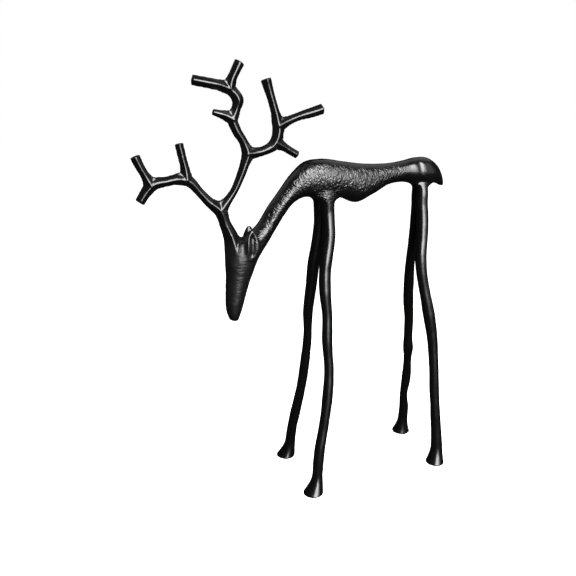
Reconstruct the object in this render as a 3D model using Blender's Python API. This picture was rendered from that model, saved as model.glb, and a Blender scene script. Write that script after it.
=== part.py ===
"""Reindeer figure: a black cast-metal animal with its head lowered, on four long splayed legs.

The whole figure is one casting. It is modelled as lofted limbs that a Boolean union joins:
the trunk from nose to tail, the four legs with their hooves, the two ears and the antlers,
which lie flat in the middle plane. The animal faces -X, +Y is its right side, and the origin
is on the floor below the middle of the figure.
"""
import math

import bmesh
import bpy
import numpy as np

# Driving dimensions, in metres.
HEIGHT = 0.360                # soles to the tip of the highest tine
FRONT_FEET_WIDTH = 0.066      # across the figure, between the middles of the two front soles
HIND_FEET_WIDTH = 0.063       # the same, of the hind soles
SHOULDER_WIDTH = 0.013        # across the figure, between the middles of the front legs' tops
HIP_WIDTH = 0.0105            # the same, of the hind legs' tops
EARS_WIDTH = 0.019            # across the figure, between the tips of the two ears
EAR_CUP_DEPTH = 0.003         # how deep the hollow is in the outer side of an ear
WEB_RADIUS = 0.005            # fillet where a leg rises into the belly
RIM_RADIUS = 0.0008           # rounding of the soles and of the blunt ends
SHORT_EDGE_LENGTH = 0.00003   # corners of the union closer than this are merged

# The pose and the carving are stations on a pattern 360 mm high, which follows HEIGHT.
MM = HEIGHT / 360
SPLAY_HEIGHT = 245 * MM       # below this height the legs spread towards their soles
BREAST_HEIGHT = 256 * MM      # where the front legs rise into the belly
GROIN_HEIGHT = 264 * MM       # where the hind legs do
SHOULDER_ROOT = 17 * MM       # how far a front leg reaches up inside the body above its belly
HIP_ROOT = 12 * MM            # the same, of a hind leg

TRUNK_SIDES = 20
LEG_SIDES = 12
EAR_SIDES = 12
ANTLER_SIDES = 10         # puts a corner on the ridge and none in the middle plane
TRUNK_STEP = 5.8 * MM     # between two sections along a limb
LEG_STEP = 9.5 * MM
EAR_STEP = 4 * MM
ANTLER_STEP = 4.2 * MM

ROUND = 2.0               # exponent of an elliptical section
ANTLER_DIAMOND = 1.75     # under 2 the section is a rounded diamond, which gives the ridge
ANTLER_DEPTH = 0.95       # thickness of a tine across the figure, as a share of its width
HOOF_FLARE = 1.6          # over 1 the hoof widens faster towards the sole

# Trunk stations from nose to tail: the back line (x, z), the throat and belly line (x, z),
# the thickness across the figure and the exponent of the section.
TRUNK = [
    (-51.6, 159.2, -44.6, 158.4, 9.0, 2.4),
    (-53.4, 167.0, -41.8, 166.0, 12.5, 2.6),
    (-53.9, 180.0, -38.1, 179.0, 15.5, 2.7),
    (-53.1, 196.0, -32.7, 195.0, 18.0, 2.7),
    (-52.5, 210.0, -27.3, 208.0, 20.0, 2.6),
    (-47.0, 223.0, -21.8, 216.8, 19.5, 2.4),
    (-36.0, 230.0, -16.6, 224.3, 18.0, 2.2),
    (-25.4, 236.7, -11.7, 231.0, 16.0, 2.1),
    (-16.0, 251.2, -3.7, 243.0, 15.5, 2.1),
    (-6.0, 264.3, 4.6, 252.4, 16.5, 2.1),
    (4.0, 276.8, 14.0, 256.8, 20.0, 2.1),
    (14.5, 285.0, 24.0, 255.6, 24.0, 2.2),
    (28.0, 286.9, 33.0, 254.5, 26.0, 2.2),
    (45.0, 284.8, 46.0, 254.8, 26.0, 2.2),
    (61.0, 282.4, 60.5, 250.4, 26.0, 2.2),
    (76.0, 281.4, 76.0, 256.2, 23.0, 2.1),
    (92.0, 281.3, 91.0, 263.7, 18.5, 2.1),
    (106.0, 283.2, 106.0, 265.2, 19.0, 2.1),
    (119.0, 285.6, 119.0, 262.5, 23.0, 2.2),
    (130.0, 284.6, 129.5, 262.0, 21.0, 2.2),
    (140.0, 277.3, 137.0, 263.0, 15.0, 2.1),
    (145.6, 267.0, 142.0, 261.8, 9.0, 2.0),
    (147.4, 261.0, 145.6, 260.0, 4.5, 2.0),
]

# Legs: the side, the width of the pair at the top and between its feet, the height of the belly
# there and how far the leg reaches above it, the sole (x and width), and the stations from inside
# the body down to the ankle (height, x and thickness).
LEGS = {
    "front_left": (-1, SHOULDER_WIDTH, FRONT_FEET_WIDTH, BREAST_HEIGHT, SHOULDER_ROOT,
                   (11.0, 17.6), [
        (273, 30.5, 8.5), (262, 31.4, 10.8), (250, 32.3, 11.0), (237, 33.0, 10.6),
        (222, 32.8, 10.8), (208, 30.4, 10.8), (195, 28.6, 10.1), (178, 28.1, 10.2),
        (158, 29.4, 8.8), (135, 28.7, 9.0), (110, 29.6, 8.6), (85, 27.4, 9.3),
        (60, 23.1, 8.8), (38, 18.4, 9.4), (17, 15.7, 9.4)]),
    "front_right": (1, SHOULDER_WIDTH, FRONT_FEET_WIDTH, BREAST_HEIGHT, SHOULDER_ROOT,
                    (10.5, 17.6), [
        (273, 30.5, 8.5), (262, 30.9, 10.6), (250, 31.2, 10.8), (232, 31.9, 10.2),
        (215, 30.6, 10.4), (200, 28.7, 10.6), (178, 27.5, 10.1), (152, 25.7, 9.1),
        (130, 26.6, 7.7), (102, 25.6, 9.0), (75, 23.1, 8.9), (48, 18.6, 10.0),
        (30, 15.7, 9.7), (17, 14.6, 9.9)]),
    "hind_left": (-1, HIP_WIDTH, HIND_FEET_WIDTH, GROIN_HEIGHT, HIP_ROOT,
                  (139.3, 17.0), [
        (276, 121.5, 6.5), (266, 122.6, 8.8), (256, 123.4, 10.2), (248, 123.5, 10.6),
        (235, 124.4, 10.4), (218, 124.2, 10.6), (202, 122.9, 10.6), (186, 123.8, 9.9),
        (168, 127.1, 9.9), (148, 131.3, 11.1), (128, 134.9, 10.4), (98, 137.4, 9.1),
        (68, 138.5, 9.0), (42, 140.0, 9.4), (17, 141.4, 10.6)]),
    "hind_right": (1, HIP_WIDTH, HIND_FEET_WIDTH, GROIN_HEIGHT, HIP_ROOT,
                   (140.2, 17.8), [
        (276, 123.0, 6.5), (266, 124.4, 8.8), (256, 125.7, 10.0), (248, 126.0, 10.3),
        (235, 126.2, 9.5), (212, 126.7, 9.1), (190, 126.2, 8.4), (168, 127.8, 9.3),
        (148, 129.8, 9.3), (130, 132.8, 8.7), (109, 134.7, 8.8), (100, 136.0, 10.0),
        (88, 137.1, 8.0), (64, 138.5, 9.2), (44, 138.0, 8.0), (29, 140.3, 9.4),
        (17, 140.8, 9.9)]),
}

# Ears from the root inside the head to the tip: x, height, width, thickness, and the share of
# EARS_WIDTH that the ear has reached.
EARS = {
    "left": (-1, [
        (-37.0, 206.0, 6.0, 4.5, 0.55), (-34.8, 213.0, 8.4, 6.0, 0.92),
        (-33.8, 221.0, 10.4, 6.0, 1.08), (-34.0, 228.5, 8.0, 4.8, 1.04),
        (-33.9, 234.3, 3.0, 2.4, 1.0)]),
    "right": (1, [
        (-35.5, 206.0, 6.0, 4.5, 0.55), (-32.6, 213.0, 8.4, 6.0, 0.92),
        (-31.0, 221.0, 10.4, 6.0, 1.08), (-30.6, 228.5, 8.4, 4.8, 1.04),
        (-30.3, 234.1, 3.4, 2.4, 1.0)]),
}

# Antler limbs, each from its root inside the one that carries it to its end: x, z and width.
ANTLERS = {
    "left_beam": [
        (-43.0, 206.0, 17.0), (-45.7, 218.9, 14.6), (-48.3, 228.5, 12.2), (-52.6, 238.3, 10.0),
        (-57.0, 250.1, 9.6), (-65.1, 257.1, 8.0), (-72.3, 265.1, 7.1), (-79.7, 273.1, 8.0),
        (-86.0, 275.2, 8.2), (-97.0, 273.9, 7.7), (-106.9, 271.9, 8.3), (-111.6, 267.3, 8.0),
        (-117.3, 259.3, 7.6)],
    "tine_a": [
        (-81.7, 273.5, 9.4), (-82.1, 281.0, 7.2), (-83.7, 289.0, 6.5), (-86.1, 301.2, 6.8)],
    "tine_b": [
        (-107.7, 270.5, 9.2), (-111.5, 277.9, 6.9), (-115.3, 285.2, 6.9), (-118.4, 292.7, 7.4)],
    "right_beam": [
        (-57.0, 249.5, 9.4), (-51.4, 256.0, 7.8), (-45.6, 263.6, 6.8), (-40.8, 272.7, 7.0),
        (-36.4, 283.3, 7.8), (-33.6, 293.0, 8.4), (-36.4, 301.0, 7.0), (-41.8, 309.8, 7.5),
        (-44.6, 318.0, 7.8), (-41.9, 324.9, 6.8), (-40.2, 331.8, 9.4), (-44.3, 337.8, 8.1),
        (-51.2, 341.3, 8.0), (-62.0, 343.5, 7.9), (-74.5, 345.6, 7.8)],
    "spur_d": [(-43.5, 317.3, 8.8), (-49.5, 320.5, 7.2), (-54.6, 322.0, 6.1), (-60.0, 323.4, 4.7)],
    "tine_f": [(-46.5, 339.0, 8.8), (-45.0, 345.5, 7.6), (-42.2, 351.2, 7.5), (-38.1, 358.7, 7.9)],
    "right_branch": [
        (-35.0, 292.5, 9.4), (-28.0, 292.9, 8.0), (-20.0, 294.5, 7.7), (-13.4, 297.8, 8.4),
        (-9.6, 303.2, 8.7), (-8.3, 310.0, 9.0), (-9.4, 318.1, 7.6), (-12.1, 328.1, 6.9),
        (-14.9, 337.0, 7.2), (-18.0, 347.0, 8.7)],
    "spur_g": [(-11.0, 300.5, 8.8), (-3.9, 297.2, 6.5), (2.0, 293.7, 6.3), (8.1, 290.3, 6.4)],
    "tine_i": [
        (-9.5, 312.5, 10.5), (-2.9, 315.4, 8.0), (9.1, 319.9, 6.9), (21.2, 323.1, 7.8),
        (29.4, 325.6, 8.4)],
}


def walk(rows, step):
    """The distance walked at each row, and evenly spaced distances about a step apart."""
    strides = np.linalg.norm(np.diff(rows[:, :3], axis=0), axis=1)
    walked = np.concatenate([[0.0], np.cumsum(strides)])
    return walked, np.linspace(0.0, walked[-1], max(2, round(walked[-1] / step)) + 1)


def smooth(rows, walked, at):
    """Rows read off at given distances from the smooth curve, a cubic Hermite, through rows."""
    slope = np.gradient(rows, walked, axis=0)
    i = np.clip(np.searchsorted(walked, at, side="right") - 1, 0, len(walked) - 2)
    length = (walked[i + 1] - walked[i])[:, None]
    u = (at - walked[i])[:, None] / length
    return ((1 + 2 * u) * (1 - u) ** 2 * rows[i] + u * (1 - u) ** 2 * length * slope[i]
            + u * u * (3 - 2 * u) * rows[i + 1] + u * u * (u - 1) * length * slope[i + 1])


def rings(centre, along, across, exponent, sides):
    """One superellipse of points round each centre, from its two half-axes."""
    angle = math.pi / 2 + np.arange(sides) * math.tau / sides
    power = 2 / np.broadcast_to(exponent, len(centre))[:, None]
    x = (np.sign(np.cos(angle)) * np.abs(np.cos(angle)) ** power)[..., None]
    y = (np.sign(np.sin(angle)) * np.abs(np.sin(angle)) ** power)[..., None]
    return centre[:, None] + x * along[:, None] + y * across[:, None]


def blunt(sections):
    """The rings with a blunt last end: its edge is drawn in by as much as it is set back."""
    tip = sections[-1]
    middle = tip.mean(axis=0)
    ahead = middle - sections[-2].mean(axis=0)
    ahead /= np.linalg.norm(ahead)
    spokes = tip - middle
    drawn_in = middle + spokes * (1 - RIM_RADIUS / np.linalg.norm(spokes, axis=1).mean())
    return np.concatenate([sections[:-1], [tip - ahead * RIM_RADIUS], [drawn_in]])


def loft(name, sections, collection):
    """A closed body through rings of equally many points, with a flat cap at each end."""
    bm = bmesh.new()
    points = [[bm.verts.new(point) for point in ring] for ring in sections]
    for near, far in zip(points, points[1:]):
        for i in range(len(near)):
            j = (i + 1) % len(near)
            bm.faces.new((near[i], near[j], far[j], far[i]))
    bm.faces.new(points[0][::-1])
    bm.faces.new(points[-1])
    bmesh.ops.recalc_face_normals(bm, faces=bm.faces)
    bmesh.ops.triangulate(bm, faces=bm.faces)
    mesh = bpy.data.meshes.new(name)
    bm.to_mesh(mesh)
    bm.free()
    mesh.shade_smooth()
    body = bpy.data.objects.new(name, mesh)
    collection.objects.link(body)
    return body


def trunk(name, collection):
    """Nose to tail: each section spans from the back line to the throat and belly line."""
    rows = np.array(TRUNK) * [MM, MM, MM, MM, MM, 1]
    level = np.zeros(len(rows))
    back = np.stack([rows[:, 0], level, rows[:, 1]], axis=1)
    belly = np.stack([rows[:, 2], level, rows[:, 3]], axis=1)
    rows = np.hstack([(back + belly) / 2, (back - belly) / 2, rows[:, 4:]])
    path = smooth(rows, *walk(rows, TRUNK_STEP))
    across = path[:, 6:7] / 2 * [0, 1, 0]
    sections = rings(path[:, :3], path[:, 3:6], across, path[:, 7], TRUNK_SIDES)
    sections = blunt(blunt(sections)[::-1])[::-1]
    return loft(name, sections, collection)


def leg(name, side, top, spread, belly, root, sole, stations, collection):
    """A leg of level sections that spreads towards its sole, filleted into the belly above
    and flared into a hoof below, with the toe swelling forwards. It roots at its first station,
    or higher if the belly is there."""
    z, x, width = np.array(stations, dtype=float).T * MM
    web_end = belly - WEB_RADIUS
    shaft = np.linspace(web_end, z[-1], round((web_end - z[-1]) / LEG_STEP) + 1)
    web = web_end + WEB_RADIUS * np.array([1.4, 0.95, 0.7, 0.4])
    top_level = max(z[0], belly + root)
    levels = np.concatenate([[top_level, (top_level + web[0]) / 2], web, shaft])
    path = smooth(np.stack([x, 0 * x, z, width], axis=1), z[0] - z,
                  np.clip(z[0] - levels, 0, None))
    path[:, 2] = levels
    ankle = path[-1]
    sole_x, sole_width = sole[0] * MM, sole[1] * MM
    fall = np.array([0.3, 0.55, 0.78, 1.0])
    flare = fall ** HOOF_FLARE
    hoof = np.stack([ankle[0] + (sole_x - ankle[0]) * flare, 0 * fall,
                     ankle[2] + (RIM_RADIUS - ankle[2]) * fall,
                     ankle[3] + (sole_width - ankle[3]) * flare], axis=1)
    path = np.vstack([path, hoof, [sole_x, 0, 0, sole_width - 2 * RIM_RADIUS]])
    drop = np.clip(1 - path[:, 2] / SPLAY_HEIGHT, 0, None)
    path[:, 1] = side * (top + (spread - top) * drop) / 2
    rise = np.clip((path[:, 2] - web_end) / WEB_RADIUS, 0, 1)
    half = path[:, 3] / 2
    along = np.outer(half + WEB_RADIUS * rise ** 2, [1, 0, 0])
    sections = rings(path[:, :3], along, np.outer(half, [0, 1, 0]), ROUND, LEG_SIDES)
    return loft(f"leg_{name}", sections, collection)


def ear(name, side, stations, collection):
    """An upright leaf beside the neck, with a hollow in its outer side."""
    x, z, width, thickness, share = np.array(stations).T
    y = side * share * EARS_WIDTH / 2
    rows = np.stack([x * MM, y, z * MM, width * MM, thickness * MM], axis=1)
    path = smooth(rows, *walk(rows, EAR_STEP))
    half = path[:, 3:] / 2
    sections = rings(path[:, :3], np.outer(half[:, 0], [1, 0, 0]),
                     np.outer(side * half[:, 1], [0, 1, 0]), ROUND, EAR_SIDES)
    outward = np.clip(np.cos(np.arange(EAR_SIDES) * math.tau / EAR_SIDES), 0, 1)
    hollow = EAR_CUP_DEPTH * np.outer(half[:, 1] / half[:, 1].max(), outward ** 2)
    sections[:, :, 1] -= side * hollow
    return loft(f"ear_{name}", sections, collection)


def antler_limb(name, stations, collection):
    """A beam or tine in the middle plane, of rounded-diamond section, cut blunt at its end."""
    x, z, width = np.array(stations).T * MM
    rows = np.stack([x, 0 * x, z, width], axis=1)
    path = smooth(rows, *walk(rows, ANTLER_STEP))
    ahead = np.gradient(path[:, :3], axis=0)
    ahead /= np.linalg.norm(ahead, axis=1, keepdims=True)
    half = path[:, 3:] / 2
    along = np.stack([-ahead[:, 2], ahead[:, 1], ahead[:, 0]], axis=1) * half
    sections = rings(path[:, :3], along, half * [0, ANTLER_DEPTH, 0], ANTLER_DIAMOND, ANTLER_SIDES)
    return loft(f"antler_{name}", blunt(sections), collection)


def stand_in_the_middle(pieces):
    """Moves all pieces together, so that the origin is below the middle of the figure."""
    points = np.array([vertex.co for piece in pieces for vertex in piece.data.vertices])
    middle = (points.min(axis=0) + points.max(axis=0)) / 2
    for piece in pieces:
        piece.location = (-middle[0], -middle[1], 0)


def black_cast_metal():
    """The black satin finish on the casting."""
    material = bpy.data.materials.new("black_cast_metal")
    material.use_nodes = True
    shader = material.node_tree.nodes["Principled BSDF"]
    shader.inputs["Base Color"].default_value = (0.015, 0.015, 0.016, 1)
    shader.inputs["Metallic"].default_value = 0.6
    shader.inputs["Roughness"].default_value = 0.4
    return material


def main():
    for leftover in list(bpy.data.objects):
        bpy.data.objects.remove(leftover)
    figure = bpy.data.collections.new("reindeer_figure")
    limbs = bpy.data.collections.new("limbs")
    for collection in (figure, limbs):
        bpy.context.scene.collection.children.link(collection)

    casting = trunk("reindeer_casting", figure)
    casting.data.materials.append(black_cast_metal())
    for name, values in LEGS.items():
        leg(name, *values, limbs)
    for name, (side, stations) in EARS.items():
        ear(name, side, stations, limbs)
    for name, stations in ANTLERS.items():
        antler_limb(name, stations, limbs)
    stand_in_the_middle([casting, *limbs.objects])
    for limb in limbs.objects:
        limb.hide_render = True
        limb.display_type = "WIRE"

    union = casting.modifiers.new("limbs", "BOOLEAN")
    union.operation = "UNION"
    union.solver = "EXACT"
    union.operand_type = "COLLECTION"
    union.collection = limbs
    tidy = casting.modifiers.new("short_edges", "WELD")
    tidy.merge_threshold = SHORT_EDGE_LENGTH


main()
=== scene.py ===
"""Reindeer figure in black cast metal: the finished surface, its floor, light and camera.

The casting is one closed skin. Its limbs follow the solid's stations, with small changes at the
head, the neck and the legs' tops. They are lofted finely, remeshed into one surface, filleted
where limbs meet, and then worked over with the marks of the hammer and the mould. The animal
faces -X and stands on the floor, z = 0. Shapes are worked out in millimetres on a pattern, whose
middle is at MIDDLE_X, and are moved over the frame's origin as they go into a mesh.
"""
import math

import bpy
import numpy as np
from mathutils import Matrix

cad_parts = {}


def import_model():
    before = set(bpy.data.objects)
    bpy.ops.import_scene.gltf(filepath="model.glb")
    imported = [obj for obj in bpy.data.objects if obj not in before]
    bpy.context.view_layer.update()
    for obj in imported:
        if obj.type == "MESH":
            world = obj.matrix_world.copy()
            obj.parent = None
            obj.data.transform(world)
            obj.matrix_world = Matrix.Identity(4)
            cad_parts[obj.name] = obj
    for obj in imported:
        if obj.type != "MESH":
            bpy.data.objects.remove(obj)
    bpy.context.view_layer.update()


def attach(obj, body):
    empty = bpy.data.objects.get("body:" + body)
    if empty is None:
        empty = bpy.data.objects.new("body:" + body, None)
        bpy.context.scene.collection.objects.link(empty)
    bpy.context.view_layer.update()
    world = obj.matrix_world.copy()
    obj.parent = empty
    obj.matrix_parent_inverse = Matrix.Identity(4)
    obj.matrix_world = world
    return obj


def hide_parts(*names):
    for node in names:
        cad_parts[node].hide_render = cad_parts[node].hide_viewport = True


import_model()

MM = 0.001
MIDDLE_X = 13.877         # the figure's middle on the pattern
FRONT_FEET_WIDTH = 66.0   # between the middles of the two front soles
HIND_FEET_WIDTH = 63.0
SHOULDER_WIDTH = 13.0     # between the middles of the front legs' tops
HIP_WIDTH = 10.5
EARS_WIDTH = 19.0
WEB_RADIUS = 5.0          # height over which a leg widens into the belly
LEG_WEB = 2.5             # and how much it widens there, before it melts into it
RIM_RADIUS = 0.8          # rounding of the soles and of the blunt ends
SPLAY_HEIGHT = 245.0      # below this height the legs spread
BREAST_HEIGHT = 256.0
GROIN_HEIGHT = 264.0
HOOF_FLARE = 1.6          # exponent of the curve that widens a leg to its sole
LEG_ROUNDNESS = 1.9       # exponent of the legs' level sections, a little under a circle's 2
ANTLER_DIAMOND = 1.15     # exponent of the antlers' sections, a little over a sharp diamond's 1
ANTLER_DEPTH = 0.95       # the antlers' thickness across the figure, as a share of their width
MUZZLE_RIM = 1.6          # rounding of the trunk's two ends

# How far each kind of limb melts into what carries it, and how much its crest is spared.
LEG_BLEND, EAR_BLEND, ANTLER_BLEND = 8.0, 2.5, 7.0
LEG_CREST, EAR_CREST, ANTLER_CREST = 1.0, 0.0, 2.0

COAT = 0.1                # thickness of the black finish, which stands proud of the metal
SKIN_VOXEL = 0.94         # edge of the skin's faces
FAIRING_ROUNDS, SETTLING_ROUNDS = 3, 6
SETTLING_REACH = 2.5      # the furthest that one round of settling moves a point
UNION_REACH = 12.0        # how far round a limb, beyond its blend, the union is worked out
CREASE_TURN = (0.03, 0.6)         # 1 - cosine between two surfaces, from no fillet to a full one
CENTRE_PULL = 0.06        # how much nearness to a section's centre counts beside its plane
SOLE_FLATNESS = 0.35      # what lies this near the floor is laid flat on it
TRUNK_SIDES, LEG_SIDES, EAR_SIDES, ANTLER_SIDES = 72, 40, 36, 36
TRUNK_STEP, LEG_STEP, EAR_STEP, ANTLER_STEP = 1.4, 1.6, 0.9, 1.0

# An ear's hollow. The pairs are where it comes in, from none to full, as shares of the ear's
# length, or of half its thickness for its side. CUP_HALF_WIDTH is a share of half the ear's
# width, and CUP_REACH, of half its thickness, is how far out a point still counts as the ear's.
CUP_DEPTH, CUP_HALF_WIDTH, CUP_REACH = 3.0, 0.8, 1.6
CUP_ROOT_FADE, CUP_TIP_FADE, CUP_SIDE_FADE = (0.15, 0.4), (1.0, 0.75), (0.1, 0.6)

# The groove at the hip: its depth, its width, where its middle lies and how far it leans.
HIP_GROOVE_DEPTH, HIP_GROOVE_WIDTH = 0.9, 2.4
HIP_GROOVE_X, HIP_GROOVE_Z, HIP_GROOVE_LEAN = 117.5, 274.0, 0.12
HIP_GROOVE_LOW_FADE, HIP_GROOVE_TOP_FADE = (262, 267), (285, 280)

# Where the marks fade in, each from none to full, by x or height: the hammer marks, the marks
# on the face, and the unevenness above the soles.
BODY_LOW_FADE, BODY_TOP_FADE, NECK_LOW_FADE = (240, 250), (292, 288), (214, 226)
POLL_FADE, SHOULDER_FADE, LOIN_FADE = (-38, -28), (-6, 8), (108, 92)
FACE_LOW_FADE, FACE_TOP_FADE, FACE_BACK_FADE = (156, 166), (230, 216), (-12, -22)
SOLE_FADE = (1, 8)
NECK_MARKS = 0.75         # strength of the hammer marks on the neck, beside the flanks'

# The same round the trunk, in u, which is 1 on the line of the back and -1 on the belly's: where
# the marks end at the back, where the strokes turn lengthwise, and where the marks end below.
# FLANK_DROP is how much lower they run at the front legs, on to the leg.
BACK_FADE, LOW_FADE = (0.95, 0.65), (-0.25, -0.75)
FLANK_LOW, FLANK_LOW_FADE, FLANK_DROP = -0.8, 0.6, 0.5
FRONT_LEGS_X, FLANK_DROP_WIDTH = 30.0, 14.0

# Trunk stations from nose to tail: the back line (x, z), the throat and belly line (x, z),
# the thickness across the figure and the exponent of the section.
TRUNK = [
    (-51.6, 159.2, -44.6, 158.4, 9.0, 2.4),
    (-53.8, 167.0, -41.5, 166.0, 12.5, 1.9),
    (-54.2, 180.0, -37.6, 179.0, 15.5, 1.8),
    (-53.6, 196.0, -32.1, 195.0, 18.0, 1.75),
    (-53.3, 210.0, -26.7, 208.0, 20.0, 1.85),
    (-47.6, 223.0, -21.3, 216.8, 20.2, 1.95),
    (-36.0, 229.0, -16.3, 224.3, 18.8, 1.75),
    (-27.2, 236.6, -11.7, 231.0, 16.0, 1.6),
    (-16.7, 251.6, -3.7, 243.0, 15.5, 1.6),
    (-6.3, 264.6, 4.6, 252.4, 16.5, 1.75),
    (4.0, 276.8, 14.0, 256.8, 20.0, 2.1),
    (14.5, 285.0, 24.0, 255.6, 24.0, 2.2),
    (28.0, 286.9, 33.0, 254.5, 26.0, 2.2),
    (45.0, 284.8, 46.0, 254.8, 26.0, 2.2),
    (61.0, 282.4, 60.5, 250.4, 26.0, 2.2),
    (76.0, 281.4, 76.0, 256.2, 23.0, 2.1),
    (92.0, 281.3, 91.0, 263.7, 18.5, 2.1),
    (106.0, 283.2, 106.0, 265.2, 19.0, 2.1),
    (119.0, 285.6, 119.0, 262.5, 23.0, 2.2),
    (130.0, 284.6, 129.5, 262.0, 21.0, 2.2),
    (140.0, 277.3, 137.0, 263.0, 15.0, 2.1),
    (145.6, 267.0, 142.0, 261.8, 9.0, 2.0),
    (147.4, 261.0, 145.6, 260.0, 4.5, 2.0),
]

# Legs: the side, the width of the pair at the top and between its feet, the height of the belly
# there, the sole (x and width), and the stations from inside the body down to the ankle
# (height, x and thickness).
LEGS = {
    "front_left": (-1, SHOULDER_WIDTH, FRONT_FEET_WIDTH, BREAST_HEIGHT, (11.0, 18.1), [
        (273, 30.9, 10.4), (262, 31.4, 10.8), (250, 32.3, 11.0), (237, 33.0, 10.6),
        (222, 32.8, 10.8), (208, 30.4, 10.8), (195, 28.6, 10.1), (178, 28.1, 10.2),
        (158, 29.4, 8.8), (135, 28.7, 9.0), (110, 29.6, 8.6), (85, 27.4, 9.3),
        (60, 23.1, 8.8), (38, 18.4, 9.4), (17, 15.7, 9.4)]),
    "front_right": (1, SHOULDER_WIDTH, FRONT_FEET_WIDTH, BREAST_HEIGHT, (10.5, 18.1), [
        (273, 30.7, 10.2), (262, 30.9, 10.6), (250, 31.2, 10.8), (232, 31.9, 10.2),
        (215, 30.6, 10.4), (200, 28.7, 10.6), (178, 27.5, 10.1), (152, 25.7, 9.1),
        (130, 26.6, 7.7), (102, 25.6, 9.0), (75, 23.1, 8.9), (48, 18.6, 10.0),
        (30, 15.7, 9.7), (17, 14.6, 9.9)]),
    "hind_left": (-1, HIP_WIDTH, HIND_FEET_WIDTH, GROIN_HEIGHT, (139.3, 17.5), [
        (276, 122.4, 5.5), (266, 122.9, 6.6), (256, 123.4, 10.2), (248, 123.5, 10.6),
        (235, 124.4, 10.4), (218, 124.2, 10.6), (202, 122.9, 10.6), (186, 123.8, 9.9),
        (168, 127.1, 9.9), (148, 131.3, 11.1), (128, 134.9, 10.4), (98, 137.4, 9.1),
        (68, 138.5, 9.0), (42, 140.0, 9.4), (17, 141.4, 10.6)]),
    "hind_right": (1, HIP_WIDTH, HIND_FEET_WIDTH, GROIN_HEIGHT, (140.2, 18.2), [
        (276, 124.0, 5.5), (266, 124.8, 6.6), (256, 125.7, 10.0), (248, 126.0, 10.3),
        (235, 126.2, 9.5), (212, 126.7, 9.1), (190, 126.2, 8.4), (168, 127.8, 9.3),
        (148, 129.8, 9.3), (130, 132.8, 8.7), (109, 134.7, 8.8), (100, 136.0, 10.0),
        (88, 137.1, 8.0), (64, 138.5, 9.2), (44, 138.0, 8.0), (29, 140.3, 9.4),
        (17, 140.8, 9.9)]),
}

# Ears from the root inside the head to the tip: x, height, width, thickness, and the share of
# EARS_WIDTH that the ear has reached.
EARS = {
    "left": (-1, [
        (-37.0, 206.0, 6.0, 4.5, 0.55), (-34.8, 213.0, 8.4, 6.0, 0.92),
        (-33.8, 221.0, 10.4, 6.0, 1.08), (-34.0, 228.5, 8.0, 4.8, 1.04),
        (-33.9, 234.3, 3.0, 2.4, 1.0)]),
    "right": (1, [
        (-35.5, 206.0, 6.0, 4.5, 0.55), (-32.6, 213.0, 8.4, 6.0, 0.92),
        (-31.0, 221.0, 10.4, 6.0, 1.08), (-30.6, 228.5, 8.4, 4.8, 1.04),
        (-30.3, 234.1, 3.4, 2.4, 1.0)]),
}

# Antler limbs, each from its root inside the one that carries it to its end: x, z and width.
ANTLERS = {
    "left_beam": [
        (-44.3, 204.0, 19.4), (-46.3, 218.9, 16.0), (-48.6, 228.5, 12.6), (-52.6, 238.3, 10.0),
        (-57.0, 250.1, 9.6), (-65.1, 257.1, 8.0), (-72.3, 265.1, 7.1), (-79.7, 273.1, 8.0),
        (-86.0, 275.2, 8.2), (-97.0, 273.9, 7.7), (-106.9, 271.9, 8.3), (-111.6, 267.3, 8.0),
        (-117.3, 259.3, 7.6)],
    "tine_a": [
        (-81.7, 273.5, 9.4), (-82.1, 281.0, 7.2), (-83.7, 289.0, 6.5), (-86.1, 301.2, 6.8)],
    "tine_b": [
        (-107.7, 270.5, 9.2), (-111.5, 277.9, 6.9), (-115.3, 285.2, 6.9), (-118.4, 292.7, 7.4)],
    "right_beam": [
        (-57.0, 249.5, 9.4), (-51.4, 256.0, 7.8), (-45.6, 263.6, 6.8), (-40.8, 272.7, 7.0),
        (-36.4, 283.3, 7.8), (-33.6, 293.0, 8.4), (-36.4, 301.0, 7.0), (-41.8, 309.8, 7.5),
        (-44.6, 318.0, 7.8), (-41.9, 324.9, 6.8), (-40.2, 331.8, 9.4), (-44.3, 337.8, 8.1),
        (-51.2, 341.3, 8.0), (-62.0, 343.5, 7.9), (-74.5, 345.6, 7.8)],
    "spur_d": [(-43.5, 317.3, 8.8), (-49.5, 320.5, 7.2), (-54.6, 322.0, 6.1), (-60.0, 323.4, 4.7)],
    "tine_f": [(-46.5, 339.0, 8.8), (-45.0, 345.5, 7.6), (-42.2, 351.2, 7.5), (-38.1, 358.7, 7.9)],
    "right_branch": [
        (-35.0, 292.5, 9.4), (-28.0, 292.9, 8.0), (-20.0, 294.5, 7.7), (-13.4, 297.8, 8.4),
        (-9.6, 303.2, 8.7), (-8.3, 310.0, 9.0), (-9.4, 318.1, 7.6), (-12.1, 328.1, 6.9),
        (-14.9, 337.0, 7.2), (-18.0, 347.0, 8.7)],
    "spur_g": [(-11.0, 300.5, 8.8), (-3.9, 297.2, 6.5), (2.0, 293.7, 6.3), (8.1, 290.3, 6.4)],
    "tine_i": [
        (-9.5, 312.5, 10.5), (-2.9, 315.4, 8.0), (9.1, 319.9, 6.9), (21.2, 323.1, 7.8),
        (29.4, 325.6, 8.4)],
}


def walk(rows, step):
    """The distance walked at each row, and evenly spaced distances about a step apart."""
    strides = np.linalg.norm(np.diff(rows[:, :3], axis=0), axis=1)
    walked = np.concatenate([[0.0], np.cumsum(strides)])
    return walked, np.linspace(0.0, walked[-1], max(2, round(walked[-1] / step)) + 1)


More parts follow.
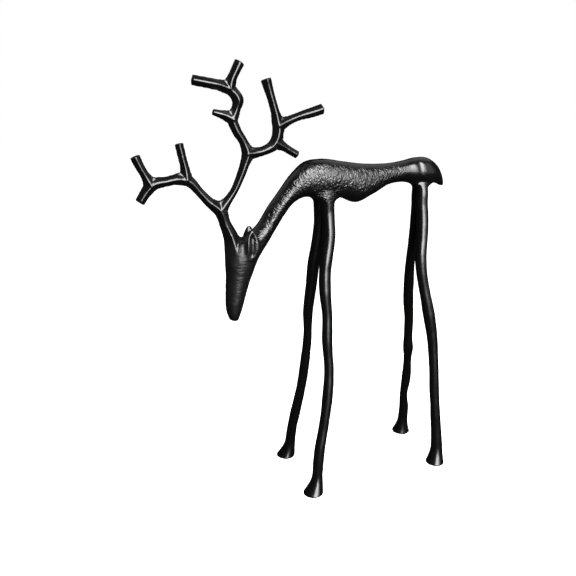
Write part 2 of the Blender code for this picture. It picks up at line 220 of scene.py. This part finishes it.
def smooth(rows, walked, at):
    """Rows read off at given distances from the smooth curve, a cubic Hermite, through rows."""
    slope = np.gradient(rows, walked, axis=0)
    i = np.clip(np.searchsorted(walked, at, side="right") - 1, 0, len(walked) - 2)
    length = (walked[i + 1] - walked[i])[:, None]
    u = (at - walked[i])[:, None] / length
    return ((1 + 2 * u) * (1 - u) ** 2 * rows[i] + u * (1 - u) ** 2 * length * slope[i]
            + u * u * (3 - 2 * u) * rows[i + 1] + u * u * (u - 1) * length * slope[i + 1])


class Limb:
    """A body of sections along a path, in pattern millimetres: a superellipse round each centre,
    on two half-axes, and an end rounded over a rim. It melts over the length `blend` into what
    carries it, least at its crest, by 1 - crest * |v|."""

    def __init__(self, centre, along, across, exponent, ahead, sides, rim, blend, crest):
        self.rows = np.hstack([centre, along, across, exponent[:, None]])
        self.centre, self.ahead = centre, ahead
        self.sides, self.rim, self.blend, self.crest = sides, rim, blend, crest

    def rings(self):
        """centre + along * sgn(cos a)|cos a|^(2/n) + across * sgn(sin a)|sin a|^(2/n), for the
        angles a of the sides."""
        centre, along, across, exponent = np.split(self.rows, [3, 6, 9], axis=1)
        angle = np.arange(self.sides) * math.tau / self.sides
        x = (np.sign(np.cos(angle)) * np.abs(np.cos(angle)) ** (2 / exponent))[..., None]
        y = (np.sign(np.sin(angle)) * np.abs(np.sin(angle)) ** (2 / exponent))[..., None]
        return centre[:, None] + x * along[:, None] + y * across[:, None]

    def read(self, points):
        """Where points lie on the limb: the place along its sections, in sections, of the one
        that passes nearest, their coordinates u and v on its half-axes, that section's row, and
        how far they are beyond the nearer end. The nearest section has the least sum of the
        squared distance from its plane and CENTRE_PULL times that from its centre."""
        level = points @ self.ahead.T - (self.centre * self.ahead).sum(axis=1)
        apart = (points ** 2).sum(axis=1)[:, None] - 2 * points @ self.centre.T
        apart += (self.centre ** 2).sum(axis=1)
        nearest = np.argmin(level ** 2 + CENTRE_PULL * apart, axis=1)
        step = np.linalg.norm(np.diff(self.centre, axis=0), axis=1).mean()
        offset = np.take_along_axis(level, nearest[:, None], axis=1)[:, 0] / step
        place = np.clip(nearest + np.clip(offset, -1, 1), 0, len(self.rows) - 1.001)
        low = place.astype(int)
        share = (place - low)[:, None]
        row = self.rows[low] * (1 - share) + self.rows[low + 1] * share
        away = points - row[:, :3]
        u = (away * row[:, 3:6]).sum(axis=1) / (row[:, 3:6] ** 2).sum(axis=1)
        v = (away * row[:, 6:9]).sum(axis=1) / (row[:, 6:9] ** 2).sum(axis=1)
        beyond = np.where(2 * nearest < len(self.rows), -level[:, 0], level[:, -1])
        return place, u, v, row, beyond

    def distance(self, points):
        """Signed distance of points from the limb, the way its surface faces there, and the
        points' coordinate v across the limb. The distance is reach * (1 - 1/s), where s is a
        point's superellipse radius in its section and reach its distance from the centre.
        Beyond the first or last section the distance to that end joins it, round the rim."""
        _, u, v, row, end = self.read(points)
        half_along = np.linalg.norm(row[:, 3:6], axis=1)
        half_across = np.linalg.norm(row[:, 6:9], axis=1)
        power = row[:, 9]
        radius = (np.abs(u) ** power + np.abs(v) ** power + 1e-9) ** (1 / power)
        reach = np.hypot(u * half_along, v * half_across)
        radial = np.where(radius > 0.02, reach * (1 - 1 / radius), -half_across)
        outside = np.hypot(np.maximum(radial + self.rim, 0), np.maximum(end + self.rim, 0))
        facing = (row[:, 3:6] * (np.sign(u) * np.abs(u) ** (power - 1) / half_along ** 2)[:, None]
                  + row[:, 6:9] * (np.sign(v) * np.abs(v) ** (power - 1) / half_across ** 2)[:, None])
        facing /= np.linalg.norm(facing, axis=1, keepdims=True) + 1e-9
        return outside + np.minimum(np.maximum(radial, end) + self.rim, 0) - self.rim, facing, v


def smoothstep(low, high, value):
    """0 at low and before it, 1 from high on, and 3t^2 - 2t^3 between. High may be the lesser."""
    t = np.clip((value - low) / (high - low), 0, 1)
    return t * t * (3 - 2 * t)


def trunk():
    """Nose to tail: each section spans from the back line to the throat and belly line."""
    rows = np.array(TRUNK)
    level = np.zeros(len(rows))
    back = np.stack([rows[:, 0], level, rows[:, 1]], axis=1)
    belly = np.stack([rows[:, 2], level, rows[:, 3]], axis=1)
    rows = np.hstack([(back + belly) / 2, (back - belly) / 2, rows[:, 4:]])
    path = smooth(rows, *walk(rows, TRUNK_STEP))
    along = path[:, 3:6]
    ahead = np.stack([along[:, 2], 0 * along[:, 1], -along[:, 0]], axis=1)
    ahead /= np.linalg.norm(ahead, axis=1, keepdims=True)
    return Limb(path[:, :3], along, path[:, 6:7] / 2 * [0, 1, 0], path[:, 7], ahead,
                TRUNK_SIDES, MUZZLE_RIM, 0.0, 0.0)


def leg(side, top, spread, belly, sole, stations):
    """A leg of level sections. Below SPLAY_HEIGHT it spreads evenly with the height it has
    fallen. At its top it widens along the belly by LEG_WEB times the square of its rise through
    WEB_RADIUS, and below the ankle it goes over to the sole by fall^HOOF_FLARE."""
    z, x, width = np.array(stations, dtype=float).T
    web_end = belly - WEB_RADIUS
    levels = np.linspace(z[0], z[-1], round((z[0] - z[-1]) / LEG_STEP) + 1)
    path = smooth(np.stack([x, 0 * x, z, width], axis=1), z[0] - z, z[0] - levels)
    ankle = path[-1]
    fall = np.linspace(0, 1, round(ankle[2] / LEG_STEP) + 1)[1:]
    flare = fall ** HOOF_FLARE
    hoof = np.stack([ankle[0] + (sole[0] - ankle[0]) * flare, 0 * fall, ankle[2] * (1 - fall),
                     ankle[3] + (sole[1] - ankle[3]) * flare], axis=1)
    path = np.vstack([path, hoof])
    drop = np.clip(1 - path[:, 2] / SPLAY_HEIGHT, 0, None)
    path[:, 1] = side * (top + (spread - top) * drop) / 2
    rise = np.clip((path[:, 2] - web_end) / WEB_RADIUS, 0, 1)
    half = path[:, 3] / 2
    along = np.outer(half + LEG_WEB * rise ** 2, [1, 0, 0])
    across = np.outer(half, [0, 1, 0])
    ahead = np.broadcast_to([0.0, 0.0, -1.0], along.shape)
    return Limb(path[:, :3], along, across, np.full(len(half), LEG_ROUNDNESS), ahead,
                LEG_SIDES, RIM_RADIUS, LEG_BLEND, LEG_CREST)


def ear(side, stations):
    """An upright leaf beside the neck: level ellipses along a smooth path through its stations,
    each out from the middle plane by its share of half of EARS_WIDTH."""
    x, z, width, thickness, share = np.array(stations).T
    rows = np.stack([x, side * share * EARS_WIDTH / 2, z, width, thickness], axis=1)
    path = smooth(rows, *walk(rows, EAR_STEP))
    half = path[:, 3:] / 2
    ahead = np.broadcast_to([0.0, 0.0, 1.0], (len(half), 3))
    return Limb(path[:, :3], np.outer(half[:, 0], [1, 0, 0]), np.outer(side * half[:, 1], [0, 1, 0]),
                np.full(len(half), 2.0), ahead, EAR_SIDES, RIM_RADIUS, EAR_BLEND, EAR_CREST)


def antler_limb(stations):
    """A beam or tine in the middle plane, cut blunt at its end: rounded diamonds square to a
    smooth path through its stations, ANTLER_DEPTH times as thick as they are wide."""
    x, z, width = np.array(stations).T
    rows = np.stack([x, 0 * x, z, width], axis=1)
    path = smooth(rows, *walk(rows, ANTLER_STEP))
    ahead = np.gradient(path[:, :3], axis=0)
    ahead /= np.linalg.norm(ahead, axis=1, keepdims=True)
    half = path[:, 3:] / 2
    along = np.stack([-ahead[:, 2], ahead[:, 1], ahead[:, 0]], axis=1) * half
    return Limb(path[:, :3], along, half * [0, ANTLER_DEPTH, 0], np.full(len(half), ANTLER_DIAMOND),
                ahead, ANTLER_SIDES, RIM_RADIUS, ANTLER_BLEND, ANTLER_CREST)


def shell(sections):
    """Points and quads of a closed body through the rings, each end drawn to its middle."""
    first, last = (np.broadcast_to(end.mean(axis=0), end.shape)[None] for end in sections[[0, -1]])
    sections = np.concatenate([first, sections, last])
    count, sides = sections.shape[:2]
    ring, side = np.mgrid[:count - 1, :sides]
    near, far = ring * sides + side, ring * sides + (side + 1) % sides
    quads = np.stack([near, far, far + sides, near + sides], axis=-1)
    return sections.reshape(-1, 3), quads.reshape(-1, 4)


def skin(limbs):
    """One closed mesh around all the limbs, from a voxel remesh of SKIN_VOXEL."""
    points, quads, start = [], [], 0
    for limb in limbs:
        body_points, body_quads = shell(limb.rings())
        points.append(body_points)
        quads.append(body_quads + start)
        start += len(body_points)
    points = (np.concatenate(points) - [MIDDLE_X, 0, 0]) * MM
    mesh = bpy.data.meshes.new("limbs")
    mesh.from_pydata(points.tolist(), [], np.concatenate(quads).tolist())
    rough = bpy.data.objects.new("limbs", mesh)
    bpy.context.scene.collection.objects.link(rough)
    remesh = rough.modifiers.new("skin", "REMESH")
    remesh.mode = "VOXEL"
    remesh.voxel_size = SKIN_VOXEL * MM
    remesh.adaptivity = 0
    evaluated = rough.evaluated_get(bpy.context.evaluated_depsgraph_get())
    joined = bpy.data.meshes.new_from_object(evaluated)
    bpy.data.objects.remove(rough)
    return joined


def union(limbs, points):
    """The smooth union of the limbs' distances, which fills the creases between them: for two
    distances a and b it is min(a, b) - w * max(k - |a - b|, 0)^2 / 4k, with k the limb's blend.
    The weight w rises from 0 where the two surfaces face one way to 1 where they turn apart,
    and falls again towards the limb's crest."""
    total, facing, _ = limbs[0].distance(points)
    for limb in limbs[1:]:
        margin = 2 * limb.blend + UNION_REACH
        low, high = limb.centre.min(axis=0) - margin, limb.centre.max(axis=0) + margin
        near = np.flatnonzero(((points > low) & (points < high)).all(axis=1))
        here, here_facing, v = limb.distance(points[near])
        there, there_facing = total[near], facing[near]
        melt = np.clip(limb.blend - np.abs(here - there), 0, None) ** 2 / (4 * limb.blend)
        melt *= smoothstep(*CREASE_TURN, 1 - (here_facing * there_facing).sum(axis=1))
        melt *= np.clip(1 - limb.crest * np.abs(v), 0, 1)
        facing[near] = np.where((here < there)[:, None], here_facing, there_facing)
        total[near] = np.minimum(here, there) - melt
    return total


def cup(points, limb, side):
    """Sinks the outer side of an ear into a hollow with a rim: CUP_DEPTH on the ear's middle
    line, and from there evenly less to nothing at CUP_HALF_WIDTH, at the root and at the tip."""
    place, u, v, _, end = limb.read(points)
    rise = place / (len(limb.rows) - 1)
    near = (v < CUP_REACH) & (end < 0)
    bowl = np.clip(1 - np.abs(u) / CUP_HALF_WIDTH, 0, 1) * smoothstep(*CUP_SIDE_FADE, v)
    bowl *= smoothstep(*CUP_ROOT_FADE, rise) * smoothstep(*CUP_TIP_FADE, rise)
    sunk = points.copy()
    sunk[:, 1] -= side * CUP_DEPTH * np.where(near, bowl, 0)
    return sunk


def settle(mesh, limbs, edges, rounds):
    """Draws the skin on to the smooth union. In each round but the last the points first even
    out, half way to their neighbours' mean."""
    for turn in range(rounds):
        points = positions(mesh)
        if turn < rounds - 1:
            points = points + 0.5 * (neighbour_mean(points, edges) - points)
        off = np.clip(union(limbs, points), -SETTLING_REACH, SETTLING_REACH)
        put_back(mesh, points + normals(mesh) * (COAT - off)[:, None])


def positions(mesh):
    """A mesh's points on the pattern, in millimetres."""
    points = np.empty(len(mesh.vertices) * 3, np.float32)
    mesh.vertices.foreach_get("co", points)
    return points.reshape(-1, 3).astype(float) / MM + [MIDDLE_X, 0, 0]


def normals(mesh):
    """The direction of the surface at each point."""
    values = np.empty(len(mesh.vertices) * 3, np.float32)
    mesh.vertex_normals.foreach_get("vector", values)
    return values.reshape(-1, 3).astype(float)


def put_back(mesh, points):
    """Moves a mesh's points to places on the pattern."""
    placed = (points - [MIDDLE_X, 0, 0]) * MM
    mesh.vertices.foreach_set("co", placed.astype(np.float32).ravel())
    mesh.update()


def neighbour_mean(values, edges):
    """The mean of each point's neighbours, for an array of numbers or of rows."""
    flat = values.reshape(len(values), -1)
    one, other = edges.T
    count = np.bincount(edges.ravel(), minlength=len(flat))
    total = [np.bincount(one, column[other], len(flat)) + np.bincount(other, column[one], len(flat))
             for column in flat.T]
    return (np.stack(total, axis=1) / count[:, None]).reshape(values.shape)


def fair(points, edges, rounds):
    """Takes out the voxel steps without shrinking: a pull of 0.5 to the neighbours' mean and
    a push of 0.53 from it, in turn."""
    for _ in range(rounds):
        for pull in (0.5, -0.53):
            points = points + pull * (neighbour_mean(points, edges) - points)
    return points


def noise(points, cell, seed):
    """Smooth value noise from -1 to 1: a hashed number at each corner of a cubic lattice,
    blended by 3t^2 - 2t^3 along each axis."""
    scaled = points / cell + seed * 17.31
    base = np.floor(scaled).astype(np.int64)
    t = scaled - base
    t = t * t * (3 - 2 * t)
    total = np.zeros(len(points))
    for corner in np.ndindex(2, 2, 2):
        key = (base + corner) @ np.array([73856093, 19349663, 83492791]) + seed * 7919
        key = (key ^ (key >> 13)) * 1274126177 & 0x7FFFFFFF
        key = (key ^ (key >> 16)) & 0xFFFF
        weight = np.prod(np.where(corner, t, 1 - t), axis=1)
        total += weight * (key / 32767.5 - 1)
    return total


def grain_mask(points, u):
    """How hammered the surface is: full on the flanks, less on the neck, and fading at the rump,
    at the legs, and towards the lines of the back and the belly. It is a product of fades, and
    its lower edge drops by FLANK_DROP * exp(-(d/w)^2) at the distance d from the front legs."""
    x, _, z = points.T
    shoulder = smoothstep(*SHOULDER_FADE, x)
    body = smoothstep(*BODY_LOW_FADE, z) * smoothstep(*LOIN_FADE, x) * shoulder
    neck = NECK_MARKS * smoothstep(*NECK_LOW_FADE, z) * (1 - shoulder) * smoothstep(*POLL_FADE, x)
    lowest = FLANK_LOW - FLANK_DROP * np.exp(-((x - FRONT_LEGS_X) / FLANK_DROP_WIDTH) ** 2)
    flank = smoothstep(lowest, lowest + FLANK_LOW_FADE, u) * smoothstep(*BACK_FADE, u)
    return np.maximum(body, neck) * smoothstep(*BODY_TOP_FADE, z) * flank


def muzzle_mask(points):
    """Where the face has its fine level marks."""
    x, _, z = points.T
    return smoothstep(*FACE_TOP_FADE, z) * smoothstep(*FACE_BACK_FADE, x) * smoothstep(*FACE_LOW_FADE, z)


def hip_groove(points):
    """A shallow groove between the flank and the hip, nearly upright, from 0 to 1: exp(-(d/w)^2)
    of the distance d from its leaning middle line."""
    x, _, z = points.T
    off_line = x - HIP_GROOVE_X + HIP_GROOVE_LEAN * (z - HIP_GROOVE_Z)
    return (np.exp(-(off_line / HIP_GROOVE_WIDTH) ** 2)
            * smoothstep(*HIP_GROOVE_LOW_FADE, z) * smoothstep(*HIP_GROOVE_TOP_FADE, z))


def relief(points, grain):
    """Height of the casting's marks, in millimetres: hammer marks, uneven level ridges on the
    face, the groove at the hip and a slight unevenness everywhere. Each layer of marks is its
    height times a noise."""
    hammered = 0.07 * noise(points, cell=3.1, seed=1) + 0.03 * noise(points, cell=1.9, seed=2)
    level = points * [0.3, 0.3, 1.0]
    ridge = 0.07 * noise(level, cell=1.9, seed=3) + 0.09 * noise(points, cell=2.2, seed=4)
    uneven = 0.22 * noise(points, cell=13.0, seed=5) + 0.09 * noise(points, cell=6.5, seed=6)
    return (grain * hammered + muzzle_mask(points) * ridge
            + uneven * smoothstep(*SOLE_FADE, points[:, 2]) - HIP_GROOVE_DEPTH * hip_groove(points))


class Number:
    """A number in a material. Arithmetic on it adds the Math nodes."""

    def __init__(self, finish, socket):
        self.finish, self.socket = finish, socket

    def math(self, operation, first, second):
        """A Math node on two numbers."""
        return self.finish.number("ShaderNodeMath", {"operation": operation}, {0: first, 1: second})

    def __add__(self, other):
        return self.math("ADD", self, other)

    def __sub__(self, other):
        return self.math("SUBTRACT", self, other)

    def __rsub__(self, other):
        return self.math("SUBTRACT", other, self)

    def __mul__(self, other):
        return self.math("MULTIPLY", self, other)

    def __abs__(self):
        return self.math("ABSOLUTE", self, 0)

    __radd__, __rmul__ = __add__, __mul__


class Finish:
    """A material and its nodes around one Principled shader."""

    def __init__(self, name, constants):
        self.material = bpy.data.materials.new(name)
        self.material.use_nodes = True
        self.tree = self.material.node_tree
        self.shader = self.tree.nodes["Principled BSDF"]
        for socket, value in constants.items():
            self.shader.inputs[socket].default_value = value
        self.place = self.node("ShaderNodeTexCoord").outputs["Object"]

    def feed(self, socket, value):
        """Links a socket to a number or an output, or sets its constant."""
        value = value.socket if isinstance(value, Number) else value
        if isinstance(value, bpy.types.NodeSocket):
            self.tree.links.new(value, socket)
        else:
            socket.default_value = value

    def node(self, kind, settings=(), inputs=()):
        """One node: its settings first, then the values or links of its sockets."""
        node = self.tree.nodes.new(kind)
        for name, value in dict(settings).items():
            setattr(node, name, value)
        for name, value in dict(inputs).items():
            self.feed(node.inputs[name], value)
        return node

    def number(self, kind, settings=(), inputs=(), output=0):
        """One node, as a number: its first output or another."""
        return Number(self, self.node(kind, settings, inputs).outputs[output])

    def noise(self, cell, detail=2.0, distortion=0.0, place=None):
        """A noise texture whose cells are about this many millimetres."""
        inputs = {"Vector": place or self.place, "Scale": 1 / (cell * MM), "Detail": detail,
                  "Distortion": distortion}
        return self.number("ShaderNodeTexNoise", (), inputs)

    def worms(self, place):
        """Worm-like grooves: 0 along the middle level of a noise, 1 a little off it."""
        off_middle = abs(2 * self.noise(cell=1.0, detail=1.0, distortion=0.6, place=place) - 1)
        return self.number("ShaderNodeMapRange", {"interpolation_type": "SMOOTHSTEP"},
                           {"Value": off_middle, "From Max": 0.28})

    def attribute(self, name):
        """A number that the mesh holds at each point."""
        return self.number("ShaderNodeAttribute", {"attribute_name": name}, (), "Fac")

    def stretch(self, place, scale):
        """Coordinates scaled along each axis, so that a pattern on them is drawn out."""
        return self.node("ShaderNodeMapping", (), {"Vector": place, "Scale": scale}).outputs[0]

    def mix(self, share, low, high):
        """A colour between two, by a number."""
        node = self.node("ShaderNodeMix", {"data_type": "RGBA"}, {"Factor": share})
        self.feed(node.inputs[6], low)
        self.feed(node.inputs[7], high)
        return node.outputs[2]


def black_cast_metal():
    """Black cast metal: near-black and glossy, with short hammer strokes on the neck and flanks,
    upright above and lengthwise below, and fine level marks on the face."""
    finish = Finish("black_cast_metal", {"Metallic": 0.0, "Specular IOR Level": 0.5})
    grain, muzzle = finish.attribute("grain"), finish.attribute("muzzle")
    low = finish.attribute("low")
    strokes = finish.node("ShaderNodeAttribute", {"attribute_name": "strokes"}).outputs["Vector"]
    blotch = finish.noise(cell=9.0, detail=3.0)
    fine = finish.noise(cell=0.9, detail=2.0)
    finish.feed(finish.shader.inputs["Base Color"],
                finish.mix(blotch, (0.0008, 0.0008, 0.0009, 1), (0.002, 0.0019, 0.0019, 1)))
    across = finish.worms(finish.stretch(strokes, (0.38, 0.19, 0.19)))
    along = finish.worms(finish.stretch(strokes, (0.18, 0.42, 0.42)))
    hammered = across * (1 - low) + along * low
    level = finish.noise(cell=1.6, detail=2.0, place=finish.stretch(finish.place, (0.35, 0.35, 1.0)))
    finish.feed(finish.shader.inputs["Roughness"],
                0.18 + 0.05 * blotch + 0.04 * fine + 0.14 * muzzle + 0.12 * grain * (1 - hammered))
    height = 0.18 * hammered * grain + 0.02 * fine + 0.16 * level * muzzle
    bump = finish.node("ShaderNodeBump", (), {"Height": height, "Strength": 1.0, "Distance": 1.5 * MM})
    finish.feed(finish.shader.inputs["Normal"], bump.outputs[0])
    return finish.material


def hold(mesh, name, kind, field, values):
    """Keeps a value at each point of a mesh, for the material to read."""
    attribute = mesh.attributes.new(name, kind, "POINT")
    attribute.data.foreach_set(field, values.astype(np.float32).ravel())


def cast_figure():
    """The whole casting as one piece."""
    body = trunk()
    legs = [leg(*values) for values in LEGS.values()]
    ears = [ear(*values) for values in EARS.values()]
    antlers = [antler_limb(stations) for stations in ANTLERS.values()]
    limbs = [body] + legs + ears + antlers
    mesh = skin(limbs)
    mesh.name = "reindeer_figure"
    edges = np.empty(len(mesh.edges) * 2, np.int32)
    mesh.edges.foreach_get("vertices", edges)
    edges = edges.reshape(-1, 2)
    put_back(mesh, fair(positions(mesh), edges, FAIRING_ROUNDS))
    settle(mesh, limbs, edges, SETTLING_ROUNDS)
    points = positions(mesh)
    for limb, (side, _) in zip(ears, EARS.values()):
        points = cup(points, limb, side)
    put_back(mesh, points)

    place, u, _, row, _ = body.read(points)
    grain = grain_mask(points, u)
    points = points + normals(mesh) * relief(points, grain)[:, None]
    points[:, 2] = np.where(points[:, 2] < SOLE_FLATNESS, 0, points[:, 2])
    put_back(mesh, points)
    half = np.linalg.norm(row[:, 3:6], axis=1)
    strokes = np.stack([place * TRUNK_STEP, u * half, points[:, 1]], axis=1) * MM
    hold(mesh, "grain", "FLOAT", "value", grain)
    hold(mesh, "muzzle", "FLOAT", "value", muzzle_mask(points))
    hold(mesh, "low", "FLOAT", "value", smoothstep(*LOW_FADE, u))
    hold(mesh, "strokes", "FLOAT_VECTOR", "vector", strokes)
    mesh.shade_smooth()
    mesh.materials.clear()
    mesh.materials.append(black_cast_metal())
    figure = bpy.data.objects.new("reindeer_figure", mesh)
    bpy.context.scene.collection.objects.link(figure)
    return figure


def floor():
    """A plain pale floor that the camera sees as white. It keeps out of the casting's
    reflections, which show the soft lights alone."""
    mesh = bpy.data.meshes.new("floor")
    size = 6.0
    mesh.from_pydata([(-size, -size, 0), (size, -size, 0), (size, size, 0), (-size, size, 0)], [],
                     [(0, 1, 2, 3)])
    pale = Finish("pale_floor", {"Base Color": (0.9, 0.9, 0.9, 1), "Roughness": 1.0,
                                 "Specular IOR Level": 0.0,
                                 "Emission Color": (1, 1, 1, 1), "Emission Strength": 1.0})
    mesh.materials.append(pale.material)
    plane = bpy.data.objects.new("floor", mesh)
    bpy.context.scene.collection.objects.link(plane)
    plane.visible_glossy = False
    plane.visible_diffuse = False
    plane.visible_shadow = False


def world():
    """White where the camera sees it, nearly dark where it lights the figure."""
    sky = bpy.data.worlds.new("white")
    bpy.context.scene.world = sky
    sky.use_nodes = True
    tree = sky.node_tree
    background = tree.nodes["Background"]
    ray = tree.nodes.new("ShaderNodeLightPath")
    strength = tree.nodes.new("ShaderNodeMapRange")
    strength.inputs["To Min"].default_value = 0.02
    strength.inputs["To Max"].default_value = 1.0
    tree.links.new(ray.outputs["Is Camera Ray"], strength.inputs["Value"])
    tree.links.new(strength.outputs[0], background.inputs["Strength"])
    background.inputs["Color"].default_value = (1, 1, 1, 1)


def aim(thing, middle, azimuth, elevation, distance):
    """Puts a light or the camera at a distance in metres from a middle point and turns it to that
    point. Azimuth 0 is in front of the animal's left side, and 90 behind its tail."""
    azimuth, elevation = math.radians(azimuth), math.radians(elevation)
    thing.location = (middle[0] + distance * math.sin(azimuth) * math.cos(elevation),
                      middle[1] - distance * math.cos(azimuth) * math.cos(elevation),
                      middle[2] + distance * math.sin(elevation))
    thing.rotation_euler = (math.pi / 2 - elevation, 0, azimuth)
    bpy.context.scene.collection.objects.link(thing)


def softbox(name, azimuth, elevation, width, height, radiance):
    """A rectangular light turned to the figure. Its width and height are the angles, in degrees,
    that it fills as seen from the figure."""
    distance = 1.2
    lamp = bpy.data.lights.new(name, "AREA")
    lamp.shape = "RECTANGLE"
    lamp.size = 2 * distance * math.tan(math.radians(width / 2))
    lamp.size_y = 2 * distance * math.tan(math.radians(height / 2))
    lamp.energy = radiance * math.pi * lamp.size * lamp.size_y
    aim(bpy.data.objects.new(name, lamp), (0, 0, 0.2), azimuth, elevation, distance)


def camera():
    """The photograph's view: from the left of the head, a little above the back."""
    lens = bpy.data.cameras.new("camera")
    lens.lens, lens.sensor_width = 37.5, 36.0
    lens.clip_start = 0.01
    view = bpy.data.objects.new("camera", lens)
    aim(view, (-MIDDLE_X * MM, 0, 0.181), azimuth=-21.5, elevation=16.7, distance=0.505)
    bpy.context.scene.camera = view


camera()
bpy.context.scene.view_settings.view_transform = "Standard"
floor()
world()
softbox("key", azimuth=-3, elevation=28, width=36, height=64, radiance=17.0)
softbox("middle", azimuth=26, elevation=25, width=22, height=56, radiance=7.0)
softbox("side", azimuth=53, elevation=20, width=30, height=50, radiance=0.8)
softbox("low", azimuth=0, elevation=-12, width=34, height=10, radiance=1.5)
softbox("back_left", azimuth=-125, elevation=50, width=40, height=40, radiance=0.6)
softbox("back_right", azimuth=120, elevation=50, width=40, height=40, radiance=0.6)

figure = cast_figure()
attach(figure, "root")
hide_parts("reindeer_casting")
